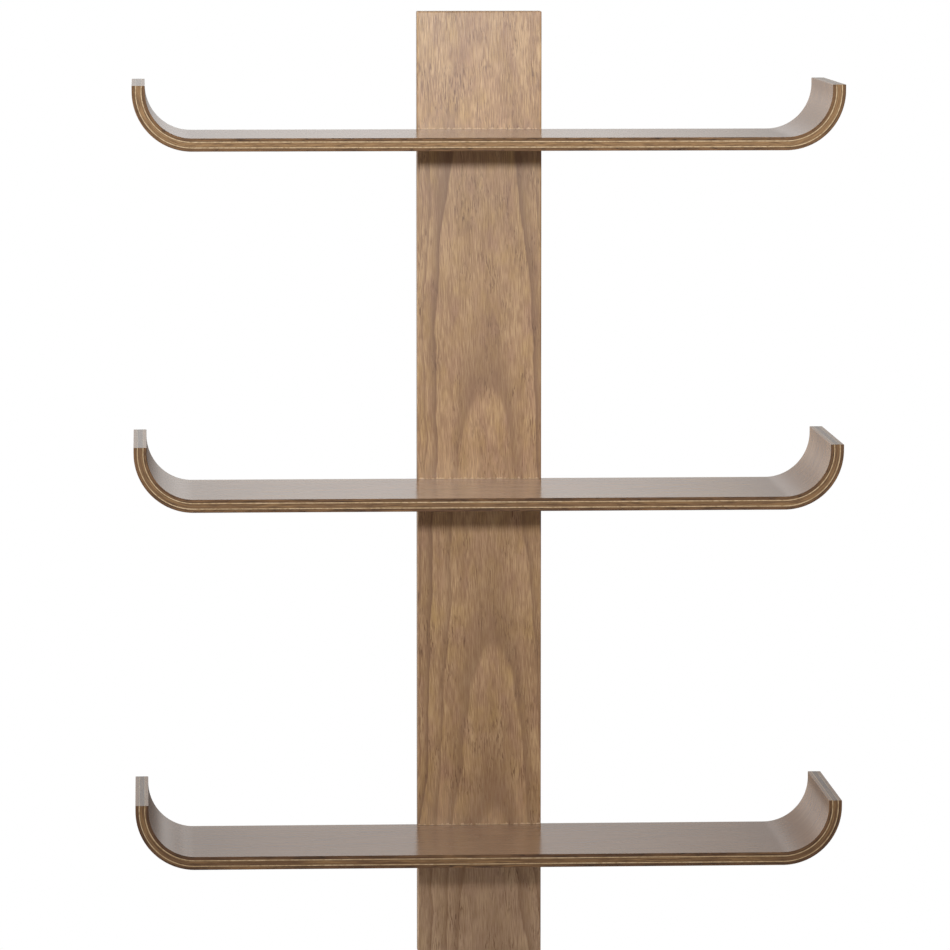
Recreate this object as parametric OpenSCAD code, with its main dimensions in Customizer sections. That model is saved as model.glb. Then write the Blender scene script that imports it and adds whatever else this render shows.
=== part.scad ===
// Wall shelf: one flat spine board with three bent-plywood shelves let into its face.
// Millimetres. +Z is up, the wall is the plane y = 0 and the front of the shelf faces -Y.
// The origin is the middle of the spine's back face.

/* [Shelves] */
// Length of a shelf from tip to tip
shelf_length = 612; // [400:1:900]
// Depth of a shelf from its back edge, inside the spine, to its front edge
shelf_depth = 175; // [120:1:260]
// Height from one shelf to the next
shelf_pitch = 310; // [220:5:400]
// Radius of the upper face where a shelf's end turns up
bend_inner_radius = 40; // [25:1:90]
// Straight rise of each end above its bend
end_rise = 5; // [2:1:30]

/* [Plies] */
// Thickness of each outer ply of a shelf
face_ply_thickness = 2.7; // [2:0.1:4]
// Thickness of each pale crossband
crossband_thickness = 1.1; // [0.8:0.1:1.5]
// Thickness of the middle ply
core_thickness = 3.7; // [3.7:0.1:6]

/* [Spine] */
// Width of the spine board
spine_width = 110; // [104:1:160]
// Thickness of the spine board
spine_thickness = 18; // [18:0.5:28]
// Spine that stands above the top shelf, and hangs below the bottom one
spine_end_length = 104; // [90:1:180]
// Radius of the spine's four corners as seen from the front
spine_corner_radius = 1; // [0.5:0.5:8]
// Radius of the spine's eased front edges
spine_edge_radius = 1.2; // [0.5:0.1:3]
// Depth of the three dados that the shelves sit in
dado_depth = 6; // [4:0.5:8]
// Gap between a shelf and its dado, filled by glue
dado_gap = 0.1; // [0.05:0.05:0.3]

/* [Dowels] */
// Diameter of the dowels between shelf and spine
dowel_diameter = 5; // [4:0.5:5.5]
// Dowel length inside the shelf
dowel_in_shelf = 18; // [12:1:30]
// Dowel length inside the spine, below the dado
dowel_in_spine = 8; // [5:0.5:8]
// Distance between the two dowels of a shelf
dowel_spacing = 30; // [20:1:50]
// Gap at the end of a dowel, so that it never holds the joint open
dowel_end_gap = 0.5; // [0.2:0.1:1]

/* [Shelf screws] */
// Outer diameter of the screws that hold a shelf from behind
screw_diameter = 3.5; // [3:0.1:3.6]
// Diameter of their countersunk heads
screw_head_diameter = 7; // [6:0.5:9]
// Length of a shelf screw
screw_length = 40; // [30:1:60]
// Distance between the two screws of a shelf
screw_spacing = 76; // [66:1:90]
// Length of the pointed tip of every screw
screw_tip_length = 4; // [2:0.5:6]
// Gap round a screw or a dowel in its bore
bore_gap = 0.05; // [0.03:0.01:0.1]

/* [Hangers] */
// Width of a keyhole hanger plate
hanger_width = 20; // [18:1:30]
// Height of a keyhole hanger plate
hanger_height = 50; // [46:1:60]
// Thickness of a keyhole hanger plate
hanger_thickness = 2; // [1.5:0.1:3]
// Distance from an end of the spine to the middle of its plate
hanger_from_end = 52; // [40:1:60]
// Depth that the plates and screw heads lie below the back face
back_recess = 0.2; // [0.1:0.1:0.5]
// Diameter of the hole that takes the head of a wall screw
keyhole_diameter = 9.5; // [8:0.5:10]
// Width of the slot that the wall screw's shank slides up
keyhole_slot_width = 5; // [4:0.5:5.5]
// Rise from the middle of the hole to the top centre of the slot
keyhole_rise = 12; // [8:1:14]
// Depth of the pocket in the spine behind the plate
hanger_pocket_depth = 9; // [7:0.5:11]
// Diameter of the screws that hold a plate
hanger_screw_diameter = 3; // [2.5:0.1:3.5]
// Diameter of their countersunk heads
hanger_screw_head_diameter = 5.6; // [5:0.1:6.5]
// Length of a hanger screw
hanger_screw_length = 13; // [10:1:15]
// Distance between the two screws of a plate
hanger_screw_spacing = 38; // [36:1:42]

/* [Hidden] */
$fn = 96;

// Colours of the woods and metals
spine_color = "#a9825c";
face_ply_color = "#7a563a";
crossband_color = "#dcbf97";
core_color = "#9a7650";
dowel_color = "#d8bb8c";
steel_color = "#b9bcc0";
zinc_color = "#c9c6b4";

// Heights of the ply faces above a shelf's underside
ply_1 = face_ply_thickness;
ply_2 = ply_1 + crossband_thickness;
ply_3 = ply_2 + core_thickness;
ply_4 = ply_3 + crossband_thickness;
shelf_thickness = ply_4 + face_ply_thickness;

// Shelf: outer bend radius and half the length of its flat stretch
bend_outer_radius = bend_inner_radius + shelf_thickness;
flat_half = shelf_length / 2 - bend_outer_radius;
dado_floor_y = -(spine_thickness - dado_depth);
shelf_back_y = dado_floor_y - dado_gap;
SHELF_NAMES = ["top", "middle", "bottom"];
SHELF_CENTRES = [shelf_pitch, 0, -shelf_pitch];

// Spine
spine_height = 2 * (shelf_pitch + spine_end_length) + shelf_thickness;
dado_height = shelf_thickness + 2 * dado_gap;

// Fasteners: places along X, and bore radii
DOWEL_X = [-dowel_spacing / 2, dowel_spacing / 2];
SCREW_X = [-screw_spacing / 2, screw_spacing / 2];
dowel_bore_radius = dowel_diameter / 2 + bore_gap;
screw_bore_radius = screw_diameter / 2 + bore_gap;
hanger_bore_radius = hanger_screw_diameter / 2 + bore_gap;

// Hangers: the keyhole is centred on its plate
hanger_z = spine_height / 2 - hanger_from_end;
keyhole_z = -keyhole_rise / 2;
mortise_depth = hanger_thickness + back_recess;
pocket_side_room = 1;
HANGER_SCREW_Z = [-hanger_screw_spacing / 2, hanger_screw_spacing / 2];

// Cross recess of a screw head: share of the head's width, and depth
recess_share = 0.55;
recess_wing_share = 0.13;
recess_depth_share = 0.6;

// Margin by which cutting bodies pass the faces that they cut
cut = 1;

// Upright outline with round corners, centred
module rounded_outline(width, height, radius) {
    square([width - 2 * radius, height], center = true);
    square([width, height - 2 * radius], center = true);
    for (x = [-1, 1], y = [-1, 1])
        translate([x * (width / 2 - radius), y * (height / 2 - radius)]) circle(radius);
}

// Section of the spine across its thickness, flat at the back and eased at the front,
// with the back on the first axis. It serves the long sides, and the top and bottom.
module eased_section(width) {
    translate([-width / 2, -spine_thickness + spine_edge_radius])
        square([width, spine_thickness - spine_edge_radius]);
    translate([-width / 2 + spine_edge_radius, -spine_thickness])
        square([width - 2 * spine_edge_radius, spine_thickness]);
    for (side = [-1, 1])
        translate([side * (width / 2 - spine_edge_radius), -spine_thickness + spine_edge_radius])
            circle(spine_edge_radius);
}

// Solid whose drawn outline, in X and Z, reaches from y = back towards -Y
module towards_front(back, depth) {
    translate([0, back, 0]) rotate([90, 0, 0]) linear_extrude(depth) children();
}

// Round body along -Y from the origin
module rod(radius, length) {
    rotate([90, 0, 0]) cylinder(r = radius, h = length);
}

// Board before it is worked
module spine_blank() {
    intersection() {
        linear_extrude(spine_height, center = true) eased_section(spine_width);
        rotate([0, 90, 0]) linear_extrude(spine_width, center = true) eased_section(spine_height);
        towards_front(cut, spine_thickness + 2 * cut)
            rounded_outline(spine_width, spine_height, spine_corner_radius);
    }
}

// Countersunk screw along -Y whose head lies at the back, below the face by back_recess
module screw(diameter, head_diameter, length) {
    cone = (head_diameter - diameter) / 2;
    difference() {
        translate([0, -back_recess, 0]) union() {
            rotate([90, 0, 0]) cylinder(r1 = head_diameter / 2, r2 = diameter / 2, h = cone);
            rod(diameter / 2, length - screw_tip_length);
            translate([0, -(length - screw_tip_length), 0]) rotate([90, 0, 0])
                cylinder(r1 = diameter / 2, r2 = diameter / 10, h = screw_tip_length);
        }
        for (turn = [0, 90])
            rotate([0, turn, 0]) translate([0, -back_recess, 0])
                cube([head_diameter * recess_share, 2 * cone * recess_depth_share,
                      head_diameter * recess_wing_share], center = true);
    }
}

// Bore for such a screw: countersink and clearance down to its tip
module screw_bore(diameter, head_diameter, length, bore_radius) {
    cone = (head_diameter - diameter) / 2;
    translate([0, cut, 0]) rod(head_diameter / 2 + bore_gap, cut + back_recess);
    translate([0, -back_recess, 0]) rotate([90, 0, 0])
        cylinder(r1 = head_diameter / 2 + bore_gap, r2 = bore_radius, h = cone);
    rod(bore_radius, back_recess + length + bore_gap);
}

// Bores of one shelf joint, in the shelf and in the spine alike
module joint_bores() {
    for (x = SCREW_X)
        translate([x, 0, 0])
            screw_bore(screw_diameter, screw_head_diameter, screw_length, screw_bore_radius);
    for (x = DOWEL_X)
        translate([x, dado_floor_y + dowel_in_spine + dowel_end_gap, 0])
            rod(dowel_bore_radius, dowel_in_spine + dowel_in_shelf + 2 * dowel_end_gap);
}

// Outline of a hanger plate, with room added all round
module hanger_outline(room) {
    radius = hanger_width / 2 + room;
    square([2 * radius, hanger_height - hanger_width], center = true);
    for (end = [-1, 1])
        translate([0, end * (hanger_height - hanger_width) / 2]) circle(radius);
}

// Round hole with the slot that rises from it
module keyhole_outline() {
    translate([0, keyhole_z]) circle(keyhole_diameter / 2);
    translate([-keyhole_slot_width / 2, keyhole_z]) square([keyhole_slot_width, keyhole_rise]);
    translate([0, keyhole_z + keyhole_rise]) circle(keyhole_slot_width / 2);
}

// Pocket for the head of the wall screw, as wide as the hole all the way up
module pocket_outline() {
    radius = keyhole_diameter / 2 + pocket_side_room;
    translate([-radius, keyhole_z]) square([2 * radius, keyhole_rise]);
    for (z = [keyhole_z, keyhole_z + keyhole_rise]) translate([0, z]) circle(radius);
}

module spine_board() {
    color(spine_color) difference() {
        spine_blank();
        for (z = SHELF_CENTRES) translate([0, 0, z]) {
            translate([-spine_width / 2 - cut, -spine_thickness - cut, -dado_height / 2])
                cube([spine_width + 2 * cut, dado_depth + cut, dado_height]);
            joint_bores();
        }
        for (z = [-hanger_z, hanger_z]) translate([0, 0, z]) {
            towards_front(cut, cut + mortise_depth) hanger_outline(bore_gap);
            towards_front(cut, cut + mortise_depth + hanger_pocket_depth) pocket_outline();
            for (screw_z = HANGER_SCREW_Z)
                translate([0, 0, screw_z])
                    rod(hanger_bore_radius, back_recess + hanger_screw_length + bore_gap);
        }
    }
}

// One ply between two heights above the shelf's underside: flat in the middle, and at each
// end a quarter turn upwards about the shelf's bend centre, then a short straight rise
module ply(centre_z, low, high) {
    difference() {
        translate([0, 0, centre_z - shelf_thickness / 2])
            towards_front(shelf_back_y, shelf_depth) {
                translate([-flat_half, low]) square([2 * flat_half, high - low]);
                for (side = [0, 1])
                    mirror([side, 0]) translate([flat_half, bend_outer_radius]) {
                        intersection() {
                            difference() {
                                circle(bend_outer_radius - low);
                                circle(bend_outer_radius - high);
                            }
                            translate([0, -bend_outer_radius]) square(bend_outer_radius);
                        }
                        translate([bend_outer_radius - high, 0]) square([high - low, end_rise]);
                    }
            }
        translate([0, 0, centre_z]) joint_bores();
    }
}

module upper_face_ply(z) { color(face_ply_color) ply(z, ply_4, shelf_thickness); }
module upper_crossband(z) { color(crossband_color) ply(z, ply_3, ply_4); }
module core(z) { color(core_color) ply(z, ply_2, ply_3); }
module lower_crossband(z) { color(crossband_color) ply(z, ply_1, ply_2); }
module lower_face_ply(z) { color(face_ply_color) ply(z, 0, ply_1); }

module shelf_dowels() {
    color(dowel_color) for (z = SHELF_CENTRES, x = DOWEL_X)
        translate([x, dado_floor_y + dowel_in_spine, z])
            rod(dowel_diameter / 2, dowel_in_spine + dowel_in_shelf);
}

module shelf_screws() {
    color(steel_color) for (z = SHELF_CENTRES, x = SCREW_X)
        translate([x, 0, z]) screw(screw_diameter, screw_head_diameter, screw_length);
}

module hanger_plate(z) {
    color(zinc_color) translate([0, 0, z]) difference() {
        towards_front(-back_recess, hanger_thickness) hanger_outline(0);
        towards_front(cut, mortise_depth + 2 * cut) keyhole_outline();
        for (screw_z = HANGER_SCREW_Z)
            translate([0, 0, screw_z])
                screw_bore(hanger_screw_diameter, hanger_screw_head_diameter,
                           hanger_screw_length, hanger_bore_radius);
    }
}
module upper_hanger_plate() { hanger_plate(hanger_z); }
module lower_hanger_plate() { hanger_plate(-hanger_z); }

module hanger_screws() {
    color(zinc_color) for (z = [-hanger_z, hanger_z], screw_z = HANGER_SCREW_Z)
        translate([0, 0, z + screw_z])
            screw(hanger_screw_diameter, hanger_screw_head_diameter, hanger_screw_length);
}

spine_board();
for (i = [0, 1, 2]) {
    shelf = str(SHELF_NAMES[i], "_shelf_");
    z = SHELF_CENTRES[i];
    upper_face_ply(z);
    upper_crossband(z);
    core(z);
    lower_crossband(z);
    lower_face_ply(z);
}
shelf_dowels();
shelf_screws();
upper_hanger_plate();
lower_hanger_plate();
hanger_screws();
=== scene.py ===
"""Wall shelf: a flat spine board with three bent-plywood shelves, dressed over its CAD frame."""
import logging
import math
from dataclasses import dataclass
from enum import Enum
from typing import Any, NamedTuple, Optional, Sequence, Union

import bmesh
import bpy
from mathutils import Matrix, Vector


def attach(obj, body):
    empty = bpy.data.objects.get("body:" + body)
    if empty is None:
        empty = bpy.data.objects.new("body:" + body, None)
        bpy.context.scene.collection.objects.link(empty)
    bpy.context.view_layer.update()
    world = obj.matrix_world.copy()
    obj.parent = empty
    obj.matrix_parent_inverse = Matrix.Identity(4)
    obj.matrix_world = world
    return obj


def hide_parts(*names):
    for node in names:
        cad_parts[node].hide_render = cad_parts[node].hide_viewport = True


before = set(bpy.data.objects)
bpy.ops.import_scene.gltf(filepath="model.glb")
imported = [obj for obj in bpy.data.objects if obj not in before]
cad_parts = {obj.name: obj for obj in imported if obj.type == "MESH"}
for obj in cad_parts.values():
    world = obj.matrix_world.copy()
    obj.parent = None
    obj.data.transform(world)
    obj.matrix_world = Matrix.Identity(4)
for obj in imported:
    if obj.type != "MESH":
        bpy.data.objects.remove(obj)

# Short names for the types that come up most.
Tree = bpy.types.NodeTree
Node = bpy.types.Node
Source = Union[Node, bpy.types.NodeSocket, float, Sequence[float]]
Stops = tuple[tuple[float, float], ...]

LOG = logging.getLogger("wall_shelf")
MM = 0.001
BODY = "root"
# Most values of a noise texture lie between these two.
USUAL_NOISE = (0.25, 0.75)
LACQUER_IOR = 1.5


@dataclass(frozen=True)
class BentForm:
    """Form of every shelf in millimetres: flat, with a quarter turn and a short rise at each end."""

    length: float = 612.0
    depth: float = 175.0
    face_ply: float = 2.7
    crossband: float = 1.1
    core: float = 3.7
    inner_radius: float = 40.0
    end_rise: float = 5.0
    middle_y: float = -99.6
    pitch: float = 310.0

    @property
    def thickness(self) -> float:
        """Thickness of the five plies together."""
        return 2 * (self.face_ply + self.crossband) + self.core

    @property
    def outer_radius(self) -> float:
        """Radius of the underside at a bend."""
        return self.inner_radius + self.thickness

    @property
    def middle_radius(self) -> float:
        """Radius of the core's middle at a bend, and how far the bend's centre lies above it."""
        return self.inner_radius + self.thickness / 2

    @property
    def flat_half(self) -> float:
        """Half the length of the flat stretch."""
        return self.length / 2 - self.outer_radius


FORM = BentForm()


class Level(Enum):
    """The three shelves, with the height of each one's middle in millimetres."""

    TOP = FORM.pitch
    MIDDLE = 0.0
    BOTTOM = -FORM.pitch

    @property
    def upper_face(self) -> float:
        """Height of the flat stretch's upper face."""
        return self.value + FORM.thickness / 2

    @property
    def underside(self) -> float:
        """Height of the flat stretch's underside."""
        return self.value - FORM.thickness / 2


class Ply(Enum):
    """The five plies of a shelf, from the top one down."""

    UPPER_FACE = "upper_face_ply"
    UPPER_CROSSBAND = "upper_crossband"
    CORE = "core"
    LOWER_CROSSBAND = "lower_crossband"
    LOWER_FACE = "lower_face_ply"


def linear(colour: str) -> tuple[float, float, float, float]:
    """Turn an sRGB hex colour to the linear values that shaders take, by the standard's formula.

    Args:
        colour: Six hex digits after a hash sign.

    Returns:
        Linear red, green, blue, and an alpha of one.
    """
    shares = [int(colour[i:i + 2], 16) / 255 for i in (1, 3, 5)]
    red, green, blue = (s / 12.92 if s <= 0.04045 else ((s + 0.055) / 1.055) ** 2.4 for s in shares)
    return red, green, blue, 1.0


def first_output(source: Source) -> Source:
    """Turn a node to its first output in use.

    Args:
        source: A node, a socket or a value.

    Returns:
        The node's output, or the source itself where it is no node.
    """
    if isinstance(source, Node):
        return next(socket for socket in source.outputs if socket.enabled)
    return source


def add(tree: Tree, kind: str, *inputs: Source,
        sockets: Optional[dict[Union[str, int], Source]] = None, **settings: Any) -> Node:
    """Add a node with its settings and links.

    Args:
        tree: The tree that the node goes into.
        kind: The node's type name.
        *inputs: What the first inputs get, in order: a node, a socket or a value.
        sockets: The same for inputs given by their name or number.
        **settings: Properties of the node itself.

    Returns:
        The new node.
    """
    node = tree.nodes.new(kind)
    for name, value in settings.items():
        setattr(node, name, value)
    for key, source in [*enumerate(inputs), *(sockets or {}).items()]:
        source = first_output(source)
        if isinstance(source, bpy.types.NodeSocket):
            tree.links.new(source, node.inputs[key])
        else:
            node.inputs[key].default_value = source
    return node


class Slope(NamedTuple):
    """A value that follows another: that one's start and end, and the values there."""

    start: float
    end: float
    first: float
    last: float


@dataclass(frozen=True)
class Patches:
    """Smooth noise whose patches have a real size, stretched between two values.

    The size is a patch's length along X, Y and Z in millimetres. The detail is how many finer
    layers lie on the first one. Low and high are the values where the noise is low and high.
    """

    size: tuple[float, float, float]
    detail: float = 2.0
    low: float = 0.0
    high: float = 1.0

    def draw(self, tree: Tree, vector: Source) -> Node:
        """Draw the patches.

        Args:
            tree: The tree to draw in.
            vector: Coordinates in millimetres.

        Returns:
            The node with the value.
        """
        scaled = add(tree, "ShaderNodeVectorMath", vector, [1 / s for s in self.size],
                     operation="MULTIPLY")
        noise = add(tree, "ShaderNodeTexNoise", scaled,
                    sockets={"Scale": 1.0, "Detail": self.detail})
        return add(tree, "ShaderNodeMapRange", noise, *USUAL_NOISE, self.low, self.high, clamp=False)


def millimetres(tree: Tree) -> tuple[Node, Node]:
    """Add the piece's own coordinates in millimetres.

    Args:
        tree: The tree to draw in.

    Returns:
        The vector, and the same split into X, Y and Z.
    """
    place = add(tree, "ShaderNodeTexCoord").outputs["Object"]
    vector = add(tree, "ShaderNodeVectorMath", place, sockets={"Scale": 1 / MM}, operation="SCALE")
    return vector, add(tree, "ShaderNodeSeparateXYZ", vector)


def weighted_sum(tree: Tree, values: Sequence[Source], shares: Sequence[float]) -> Node:
    """Add up values, each times its share.

    Args:
        tree: The tree to draw in.
        values: The values, as nodes.
        shares: What each one is multiplied by, in the same order.

    Returns:
        The node with the sum.
    """
    total = 0.0
    for value, share in zip(values, shares):
        total = add(tree, "ShaderNodeMath", value, share, total, operation="MULTIPLY_ADD")
    return total


def layered(tree: Tree, base: Source, layers: Sequence[tuple[Source, str]]) -> Source:
    """Lay colours over a base, each by its own mask.

    Args:
        tree: The tree to draw in.
        base: The colour below, a socket or a linear colour.
        layers: Mask and sRGB hex colour of each layer, from the lowest up.

    Returns:
        The socket with the final colour.
    """
    for mask, colour in layers:
        base = add(tree, "ShaderNodeMix", sockets={0: mask, 6: base, 7: linear(colour)},
                   data_type="RGBA", clamp_factor=True).outputs[2]
    return base


@dataclass(frozen=True)
class Finish:
    """A finish that becomes one material, which every piece that wears it shares."""

    name: str

    def material(self) -> bpy.types.Material:
        """Make the material the first time it is asked for.

        Returns:
            The finish's material.
        """
        made = bpy.data.materials.get(self.name)
        if made is None:
            made = bpy.data.materials.new(self.name)
            made.use_nodes = True
            made.node_tree.nodes.clear()
            shader = self.shader(made.node_tree)
            add(made.node_tree, "ShaderNodeOutputMaterial", shader)
        return made

    def shader(self, tree: Tree) -> Node:
        """Draw the finish's nodes and return the last of them, its shader."""
        raise NotImplementedError

    def dress(self, piece: bpy.types.Object) -> None:
        """Put the material in every slot of a piece, or in a new one where it has none.

        Args:
            piece: The object that wears the finish.
        """
        if not piece.material_slots:
            piece.data.materials.append(self.material())
        for place in piece.material_slots:
            place.material = self.material()


@dataclass(frozen=True)
class LacqueredWood(Finish):
    """Wood under a satin lacquer thin enough for the grain's relief to show.

    Relief is the share of the relief height that shows, and that height is in millimetres.
    """

    roughness: float
    gloss: float
    relief: float
    relief_height: float

    def lacquered(self, tree: Tree, colour: Source, height: Source, roughness: Source) -> Node:
        """Lay the lacquer over the wood.

        Args:
            tree: The tree to draw in.
            colour: The wood's colour.
            height: How high the grain stands, from 0 to 1.
            roughness: How rough the surface is.

        Returns:
            The shader.
        """
        bump = add(tree, "ShaderNodeBump", self.relief,
                   sockets={"Height": height, "Distance": self.relief_height * MM})
        return add(tree, "ShaderNodeBsdfPrincipled", colour,
                   sockets={"Roughness": roughness, "IOR": LACQUER_IOR, "Normal": bump,
                            "Specular IOR Level": self.gloss})


@dataclass(frozen=True)
class SpineWood(LacqueredWood):
    """Solid board, sawn flat so that its growth rings show as arches, under a satin lacquer.

    The eye sees fine upright fibre, a few broad arches whose lower edge is crisp and whose upper
    side fades, and pale torn fibre along the upper edge of each dado. One ring is bolder than the
    others. Above the top shelf the rings are faint. The board's foot is greyed by a painted sheen,
    a pale veil of light painted into its colour. Places and sizes are in millimetres.
    """

    pale: str = "#cfae84"
    body: str = "#b18d68"
    golden: str = "#b6935f"
    pink: str = "#aa836a"
    dark: str = "#836349"
    pore: str = "#674935"
    torn: str = "#dcbf9c"
    # Colour of the painted sheen that greys the board's foot.
    grey: str = "#bfa48c"
    roughness: float = 0.27
    gloss: float = 0.34
    relief: float = 0.35
    relief_height: float = 0.08

    thickness: float = 18.0
    # How far the grain leans to the right for each millimetre down.
    lean: float = 0.03

    # Heights where the rings have their arches, and the heights that the ramp of rings spans.
    rings: tuple[float, ...] = (-640, -540, -450, -290, -142, 85, 385, 640, 860)
    ring_span: tuple[float, float] = (-700.0, 900.0)
    # A ring starts below its height, is darkest above it, and fades further up.
    ring_steps: tuple[float, float, float] = (-6.0, 5.0, 90.0)
    # How dark a ring is at its darkest and where it has faded.
    ring_tones: tuple[float, float] = (0.73, 0.13)
    bold_ring: float = 385.0
    bold_tones: tuple[float, float] = (1.0, 0.5)
    # What the tones are multiplied by, by height.
    ring_strength: Slope = Slope(300.0, 340.0, 0.9, 0.19)

    # How far the arches' axis lies right of the middle, by height. The arches are broader and
    # flatter higher up, and both noises make them wander.
    axis: Slope = Slope(-150.0, 150.0, 11.0, 4.0)
    arch_heights: tuple[float, float] = (-120.0, 60.0)
    arch_widths: tuple[float, float] = (11.0, 16.0)
    arch_powers: tuple[float, float] = (2.4, 2.9)
    wander: Patches = Patches((45, 45, 110), low=-5.0, high=5.0)
    ripple: Patches = Patches((9, 9, 26), low=-1.1, high=1.1)
    # How far an arch rises for each millimetre behind the front.
    depth_shift: float = 15.0

    # Real fibres are under 0.1 mm wide and real pores about 0.2 mm. Both are drawn coarser, to show.
    fibre: Patches = Patches((0.9, 0.9, 13), 5.0)
    strand: Patches = Patches((4.5, 4.5, 60), 3.0)
    stain: Patches = Patches((20, 20, 45), 3.0)
    # The three together make the tone, and that darkens or lightens the body.
    tone_shares: tuple[float, float, float] = (0.56, 0.22, 0.22)
    darkening: Slope = Slope(0.32, 0.88, -0.12, 0.8)
    lightening: Slope = Slope(0.58, 0.15, 0.0, 1.0)
    # The fibre's contrast, by height.
    contrast: Slope = Slope(300.0, 320.0, 1.0, 1.3)
    pores: Patches = Patches((0.7, 0.7, 8.0), 1.0, -3.4, 1.8)
    pore_clusters: Patches = Patches((13, 13, 26), 1.0, -2.2, 0.2)
    deepest_pore: float = 0.75

    # Pink and golden patches, and the painted sheen that greys the board's foot, by height.
    blush: Patches = Patches((14, 14, 40), low=-0.405, high=0.675)
    gild: Patches = Patches((11, 11, 24), low=-0.4, high=0.64)
    painted_sheen: Slope = Slope(-295.0, -325.0, 0.0, 0.5)
    # How far up from a shelf the torn fibre reaches, and how much of its colour shows.
    torn_reach: Patches = Patches((2.6, 2.6, 40), 3.0, -1.2, 2.6)
    torn_share: float = 0.6
    # How far behind the front a point still counts as on it.
    front_skin: float = 0.1

    def course(self, tree: Tree, vector: Source, xyz: Node) -> Node:
        """Add the height at which the ring through a point has its arch.

        Args:
            tree: The tree to draw in.
            vector: The board's coordinates in millimetres.
            xyz: The same split into X, Y and Z.

        Returns:
            Node with the height in millimetres.
        """
        x, y, z = xyz.outputs
        axis = add(tree, "ShaderNodeMapRange", z, *self.axis)
        across = add(tree, "ShaderNodeMath", x, axis, operation="SUBTRACT")
        for patches in (self.wander, self.ripple):
            across = add(tree, "ShaderNodeMath", across, patches.draw(tree, vector), operation="ADD")
        width = add(tree, "ShaderNodeMapRange", z, *self.arch_heights, *self.arch_widths)
        power = add(tree, "ShaderNodeMapRange", z, *self.arch_heights, *self.arch_powers)
        spread = add(tree, "ShaderNodeMath", across, width, operation="DIVIDE")
        spread = add(tree, "ShaderNodeMath", spread, operation="ABSOLUTE")
        spread = add(tree, "ShaderNodeMath", spread, power, operation="POWER")
        arch = add(tree, "ShaderNodeMath", spread, width, z, operation="MULTIPLY_ADD")
        behind = add(tree, "ShaderNodeMath", y, self.thickness, operation="ADD")
        return add(tree, "ShaderNodeMath", behind, -self.depth_shift, arch, operation="MULTIPLY_ADD")

    def ring_ramp(self, tree: Tree, course: Source) -> Node:
        """Add the growth rings: each starts at a crisp line and fades upwards.

        Args:
            tree: The tree to draw in.
            course: Height at which the ring through a point has its arch, in millimetres.

        Returns:
            Node with how dark the ring is, from 0 to 1.
        """
        lowest, highest = self.ring_span
        share = add(tree, "ShaderNodeMapRange", course, lowest, highest, 0.0, 1.0)
        ramp = add(tree, "ShaderNodeValToRGB", share)
        # A new ramp ends in white.
        ramp.color_ramp.elements[1].color = (0, 0, 0, 1)
        for height in self.rings:
            peak, tail = self.bold_tones if height == self.bold_ring else self.ring_tones
            for step, tone in zip(self.ring_steps, (0.0, peak, tail)):
                place = (height + step - lowest) / (highest - lowest)
                stop = ramp.color_ramp.elements.new(min(max(place, 0.0), 1.0))
                stop.color = (tone, tone, tone, 1)
        return ramp

    def pore_mask(self, tree: Tree, vector: Source, leaning: Source, contrast: Source) -> Node:
        """Add the mask of the pores, which lie in clusters.

        Args:
            tree: The tree to draw in.
            vector: The board's coordinates in millimetres.
            leaning: The same, leaning with the grain.
            contrast: The fibre's contrast.

        Returns:
            Node with most in a pore and less than 0 elsewhere.
        """
        clusters = self.pore_clusters.draw(tree, vector)
        clusters = add(tree, "ShaderNodeMath", clusters, contrast, operation="ADD")
        pores = self.pores.draw(tree, leaning)
        pores = add(tree, "ShaderNodeMath", pores, clusters, operation="MINIMUM")
        return add(tree, "ShaderNodeMath", pores, self.deepest_pore, operation="MINIMUM")

    def torn_edge(self, tree: Tree, vector: Source, xyz: Node) -> Node:
        """Add the mask of the pale torn fibre on the board's front, just above each shelf.

        Args:
            tree: The tree to draw in.
            vector: The board's coordinates in millimetres.
            xyz: The same split into X, Y and Z.

        Returns:
            Node with the torn fibre's share, and 0 elsewhere.
        """
        _, y, z = xyz.outputs
        reach = self.torn_reach.draw(tree, vector)
        on_front = add(tree, "ShaderNodeMath", y, self.front_skin - self.thickness,
                       operation="LESS_THAN")
        total = 0.0
        for level in Level:
            above = add(tree, "ShaderNodeMath", z, -level.upper_face, operation="ADD")
            in_reach = add(tree, "ShaderNodeMath", above, reach, operation="LESS_THAN")
            clear = add(tree, "ShaderNodeMath", above, 0.0, operation="GREATER_THAN")
            band = add(tree, "ShaderNodeMath", in_reach, clear, operation="MULTIPLY")
            total = add(tree, "ShaderNodeMath", band, total, operation="ADD")
        total = add(tree, "ShaderNodeMath", total, on_front, operation="MULTIPLY")
        return add(tree, "ShaderNodeMath", total, self.torn_share, operation="MULTIPLY")

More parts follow.
